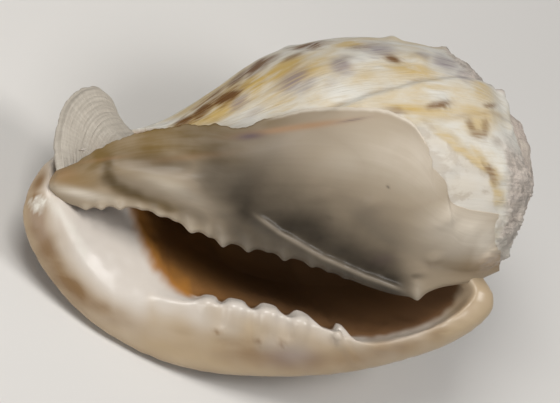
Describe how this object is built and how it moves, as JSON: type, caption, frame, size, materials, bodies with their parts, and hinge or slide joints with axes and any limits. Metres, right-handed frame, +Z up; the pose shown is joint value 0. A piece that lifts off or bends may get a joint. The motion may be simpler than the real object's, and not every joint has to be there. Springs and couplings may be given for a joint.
{
  "type": "helmet shell",
  "caption": "Coiled helmet shell lying on its back, with a thick toothed outer lip, a broad callus shield, a knobbed low spire and a short recurved canal.",
  "frame": {"origin": "under the middle of the shell's box, on the surface it lies on", "axes": "+X along the shell toward the spire, +Z up as it rests on its back, the opening toward -Y and up"},
  "size_m": [0.1844, 0.1228, 0.1044],
  "materials": {
    "shell": "glossy cream, tan and brown"
  },
  "bodies": {
    "root": {"helmet_shell": "shell"}
  },
  "joints": []
}
